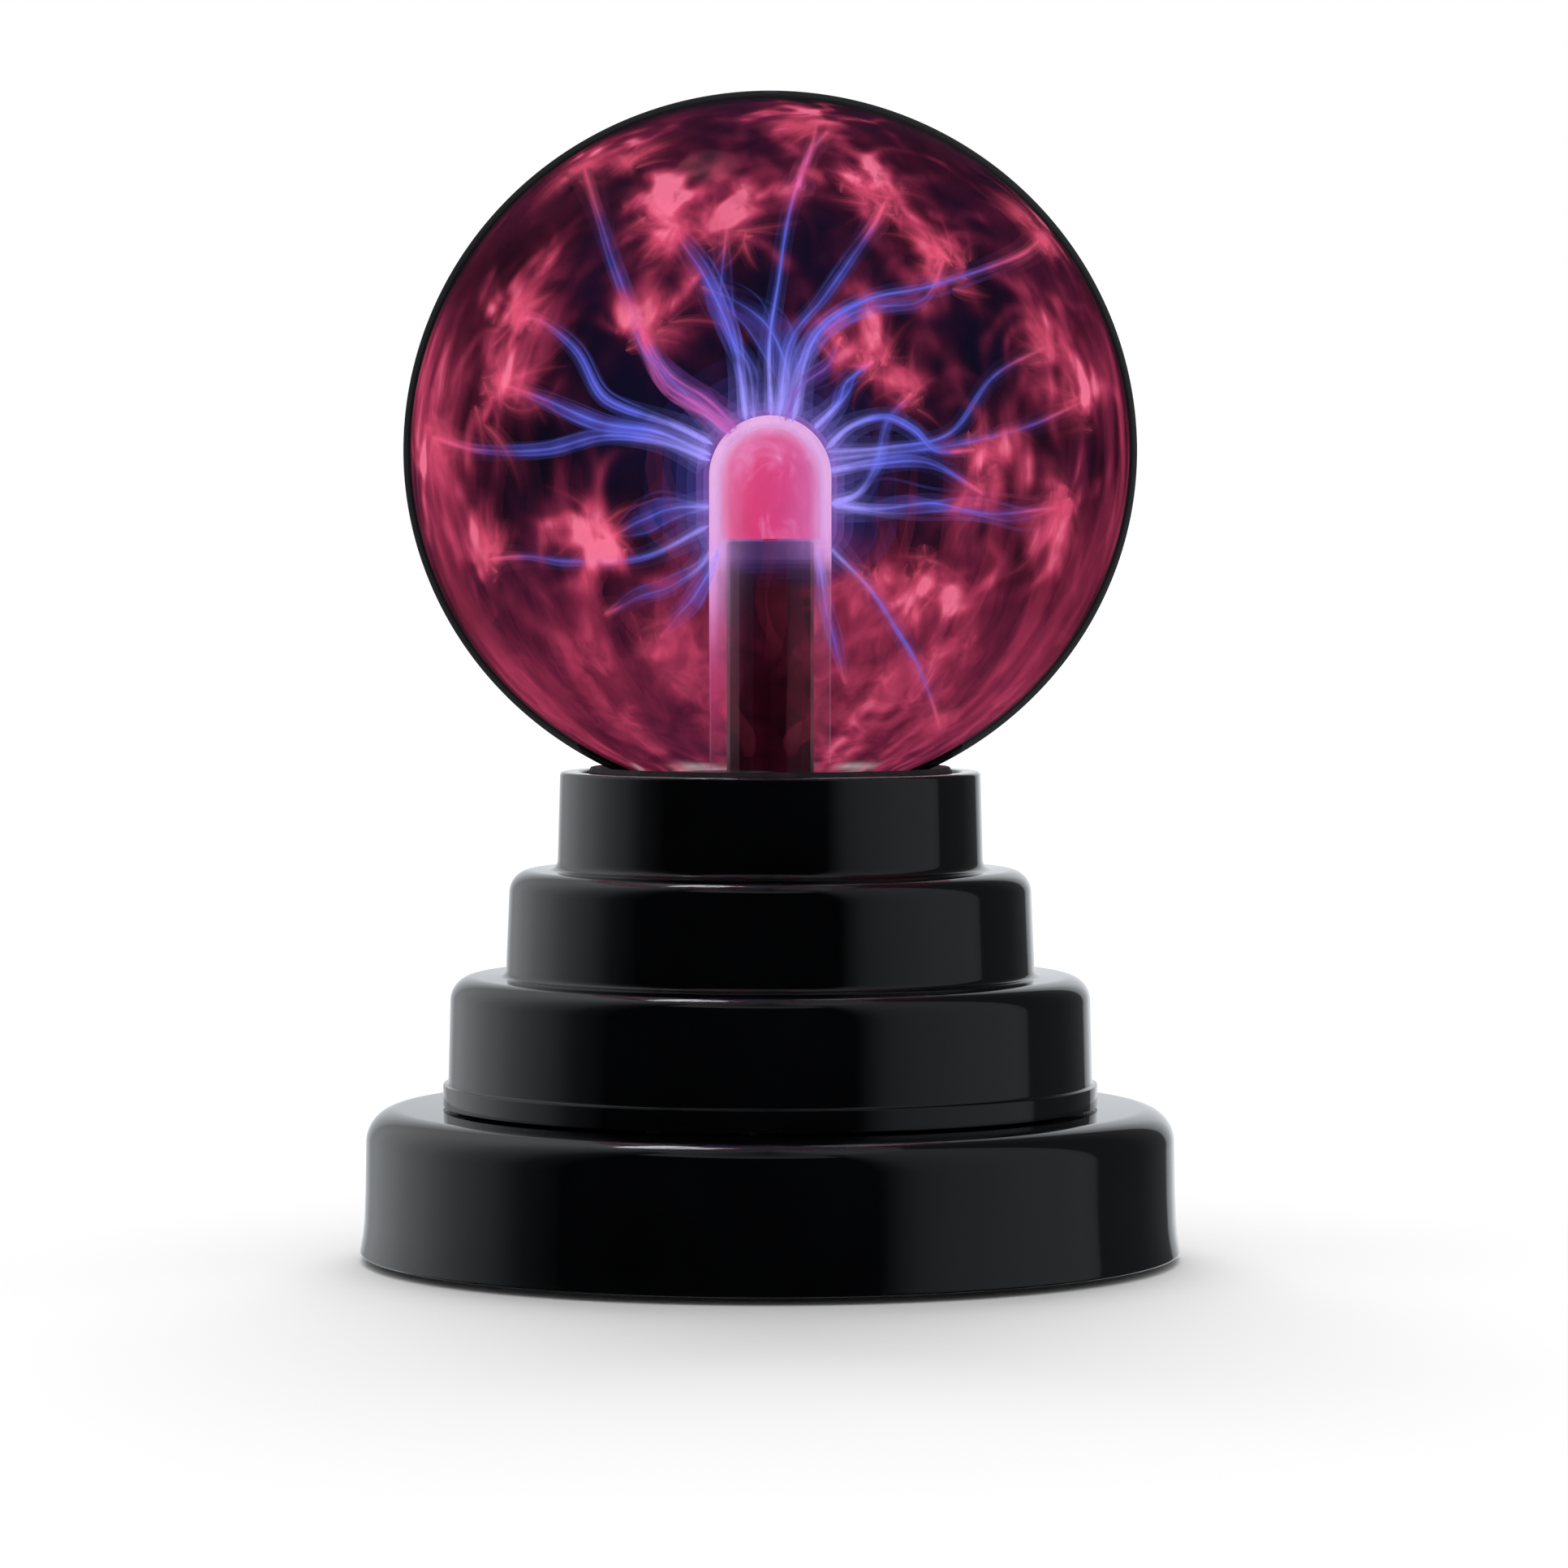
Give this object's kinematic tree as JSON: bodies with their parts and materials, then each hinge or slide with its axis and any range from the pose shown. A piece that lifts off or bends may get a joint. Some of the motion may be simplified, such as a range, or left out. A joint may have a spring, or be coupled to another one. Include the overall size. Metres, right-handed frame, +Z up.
{
  "type": "plasma ball lamp",
  "caption": "Desk plasma ball lamp: glass globe with a central electrode on a stepped round black base, with a slide switch and a power inlet at the back.",
  "frame": {"origin": "on the surface the lamp stands on, under the axis of the globe and the base", "axes": "+Z up along the globe's axis; the front faces -Y, the switch and the power inlet are at the back on +Y"},
  "size_m": [0.0898, 0.0898, 0.1275],
  "materials": {
    "globe_glass": "clear blown glass, dark where the discharge does not light it",
    "stem_glass": "clear glass tube, lit pink by the discharge",
    "electrode": "metal cap, lit pink from outside",
    "black_tube": "black insulating tube",
    "gloss_black": "polished black moulding",
    "matte_black": "fine matte black moulding",
    "silicone": "translucent white silicone",
    "rubber": "soft black rubber",
    "screw_steel": "zinc plated steel",
    "aluminium": "bare aluminium",
    "board": "green solder mask on glass-fibre board",
    "ferrite": "dark grey ferrite",
    "copper": "enamelled copper wire",
    "former": "off-white moulded former",
    "lead_red": "red silicone insulation",
    "can": "dark blue sleeved aluminium can",
    "film": "orange dipped resin",
    "resistor": "tan lacquer",
    "brass_pin": "plated contact pin"
  },
  "bodies": {
    "lamp": {"board_screw_1": "screw_steel", "board_screw_2": "screw_steel", "board_screw_3": "screw_steel", "bottom_cover": "matte_black", "circuit_board": "board", "cover_screw_1": "screw_steel", "cover_screw_2": "screw_steel", "cover_screw_3": "screw_steel", "cover_screw_4": "screw_steel", "cradle_screw_1": "screw_steel", "cradle_screw_2": "screw_steel", "cradle_screw_3": "screw_steel", "dc_jack": "matte_black", "dc_jack_pin": "brass_pin", "electrode_dome": "electrode", "electrode_sleeve": "black_tube", "exhaust_tip": "stem_glass", "film_capacitor": "film", "foot_1": "rubber", "foot_2": "rubber", "foot_3": "rubber", "foot_4": "rubber", "glass_globe": "globe_glass", "globe_cradle": "matte_black", "heat_sink": "aluminium", "heat_sink_screw": "screw_steel", "housing_screw_1": "screw_steel", "housing_screw_2": "screw_steel", "housing_screw_3": "screw_steel", "hv_lead": "lead_red", "lower_housing": "gloss_black", "main_capacitor": "can", "neck_seal": "silicone", "oscillator_chip": "matte_black", "power_transistor": "matte_black", "resistor_1": "resistor", "resistor_2": "resistor", "resistor_3": "resistor", "seat_pad": "rubber", "stem_glass": "stem_glass", "switch_body": "matte_black", "transformer_core": "ferrite", "transformer_former": "former", "transformer_winding": "copper", "upper_housing": "gloss_black"},
    "switch_slider": {"switch_knob": "matte_black"}
  },
  "joints": [
    {"name": "switch_slide", "type": "slide", "parent": "lamp", "child": "switch_slider", "axis": [1, 0, 0], "range_m": [0, 0.003]}
  ]
}
